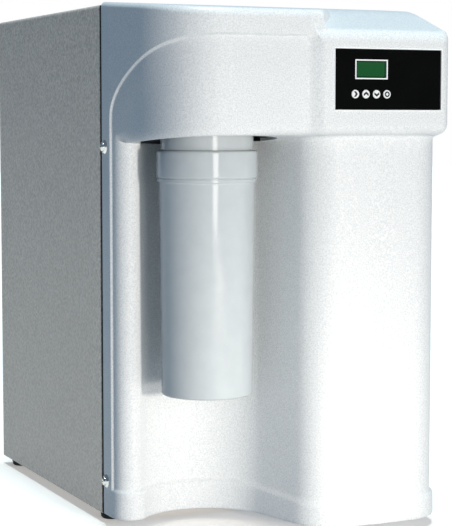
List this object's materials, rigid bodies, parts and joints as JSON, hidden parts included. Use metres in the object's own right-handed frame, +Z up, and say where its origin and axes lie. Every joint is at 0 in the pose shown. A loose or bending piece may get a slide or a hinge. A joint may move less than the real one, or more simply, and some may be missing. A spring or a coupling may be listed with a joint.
{
  "type": "reverse osmosis water purifier",
  "caption": "Bench-top reverse osmosis purifier: grey sheet cabinet, deep white moulded cover with a control panel, and a filter bowl hanging in an open bay.",
  "frame": {"origin": "on the bench under the middle of the whole object's box", "axes": "+Z up, front cover towards -Y, +X to the right seen from the front"},
  "size_m": [0.3398, 0.535, 0.5324],
  "materials": {
    "painted_sheet": "fine textured grey powder coat",
    "zinc_steel": "zinc-plated",
    "cover_plastic": "white, fine sparkling grain",
    "foam": "black closed-cell foam",
    "nickel": "bright nickel plate",
    "foot_rubber": "matt black",
    "panel_black": "black film, soft gloss",
    "bezel_white": "satin white",
    "lcd_green": "dark green screen behind a clear face",
    "key_white": "satin white",
    "board_green": "green solder mask",
    "switch_black": "moulded black",
    "bowl_plastic": "pale blue-grey, half gloss",
    "seal_rubber": "black",
    "element_fibre": "white melt-blown fibre",
    "vessel_plastic": "white moulding",
    "membrane_wrap": "blue outer wrap",
    "clip_plastic": "black moulding",
    "motor_paint": "black lacquer",
    "rotor_steel": "ground steel",
    "pump_plastic": "black moulding",
    "valve_plastic": "off-white moulding",
    "supply_case": "plain sheet",
    "fitting_white": "white acetal",
    "collar_blue": "blue acetal",
    "tube_white": "milky polyethylene",
    "tube_blue": "blue polyethylene",
    "tube_black": "black polyethylene",
    "inlet_black": "black moulding"
  },
  "bodies": {
    "cabinet": {"base_tray": "zinc_steel", "outer_wrap": "painted_sheet", "back_panel": "painted_sheet", "back_screws": "nickel", "chassis_plate": "zinc_steel", "cover_gasket": "foam", "front_cover": "cover_plastic", "cover_screws": "nickel", "cover_washers": "nickel", "feet": "foot_rubber", "foot_screws": "zinc_steel", "display_panel": "panel_black", "lcd_bezel": "bezel_white", "lcd_module": "lcd_green", "control_board": "board_green", "key_switches": "switch_black", "board_screws": "zinc_steel", "filter_bracket": "zinc_steel", "bracket_screws": "zinc_steel", "filter_head": "bowl_plastic", "head_seal": "seal_rubber", "ro_vessel": "vessel_plastic", "ro_cap": "vessel_plastic", "ro_membrane": "membrane_wrap", "ro_clips": "clip_plastic", "pump_base": "zinc_steel", "pump_grommets": "seal_rubber", "pump_motor": "motor_paint", "pump_head": "pump_plastic", "pressure_switch": "switch_black", "inlet_valve": "valve_plastic", "valve_coil": "switch_black", "conductivity_cell": "valve_plastic", "flow_restrictor": "collar_blue", "port_feed": "fitting_white", "port_permeate": "fitting_white", "port_drain": "fitting_white", "port_nuts": "fitting_white", "power_supply": "supply_case", "power_inlet": "inlet_black", "feed_tube": "tube_white", "filter_tube": "tube_white", "pump_tube": "tube_white", "membrane_tube": "tube_white", "permeate_tubes": "tube_blue", "drain_tubes": "tube_black"},
    "key_right": {"key_right": "key_white"},
    "key_up": {"key_up": "key_white"},
    "key_down": {"key_down": "key_white"},
    "key_enter": {"key_enter": "key_white"},
    "filter_element": {"filter_element": "element_fibre"},
    "filter_bowl": {"filter_bowl": "bowl_plastic"},
    "pump_rotor": {"pump_rotor": "rotor_steel"},
    "valve_plunger": {"valve_plunger": "rotor_steel"},
    "collet_feed": {"collet_feed": "collar_blue"},
    "collet_permeate": {"collet_permeate": "collar_blue"},
    "collet_drain": {"collet_drain": "collar_blue"},
    "power_rocker": {"power_rocker": "inlet_black"}
  },
  "joints": [
    {"name": "press_right", "type": "slide", "parent": "cabinet", "child": "key_right", "axis": [0, 1, 0], "range_m": [0, 0.0006], "stiffness_N_per_m": 1500},
    {"name": "press_up", "type": "slide", "parent": "cabinet", "child": "key_up", "axis": [0, 1, 0], "range_m": [0, 0.0006], "stiffness_N_per_m": 1500},
    {"name": "press_down", "type": "slide", "parent": "cabinet", "child": "key_down", "axis": [0, 1, 0], "range_m": [0, 0.0006], "stiffness_N_per_m": 1500},
    {"name": "press_enter", "type": "slide", "parent": "cabinet", "child": "key_enter", "axis": [0, 1, 0], "range_m": [0, 0.0006], "stiffness_N_per_m": 1500},
    {"name": "bowl_lower", "type": "slide", "parent": "cabinet", "child": "filter_element", "axis": [0, 0, -1], "range_m": [0, 0.018]},
    {"name": "bowl_unscrew", "type": "hinge", "parent": "filter_element", "child": "filter_bowl", "pos_m": [-0.085, -0.18205, 0.26], "axis": [0, 0, -1], "range_deg": [0, 1080]},
    {"name": "pump_spin", "type": "hinge", "parent": "cabinet", "child": "pump_rotor", "pos_m": [-0.105, -0.00255, 0.0637], "axis": [1, 0, 0], "continuous": true},
    {"name": "valve_lift", "type": "slide", "parent": "cabinet", "child": "valve_plunger", "axis": [0, 0, 1], "range_m": [0, 0.002], "stiffness_N_per_m": 600, "springref_m": -0.006},
    {"name": "release_feed", "type": "slide", "parent": "cabinet", "child": "collet_feed", "axis": [0, -1, 0], "range_m": [0, 0.0012]},
    {"name": "release_permeate", "type": "slide", "parent": "cabinet", "child": "collet_permeate", "axis": [0, -1, 0], "range_m": [0, 0.0012]},
    {"name": "release_drain", "type": "slide", "parent": "cabinet", "child": "collet_drain", "axis": [0, -1, 0], "range_m": [0, 0.0012]},
    {"name": "power_rock", "type": "hinge", "parent": "cabinet", "child": "power_rocker", "pos_m": [0.09, 0.24445, 0.143], "axis": [-1, 0, 0], "range_deg": [0, 16]}
  ],
  "couplings": [
    {"joint": "bowl_unscrew", "follows": "bowl_lower", "rad_per_m": 1047.2}
  ]
}
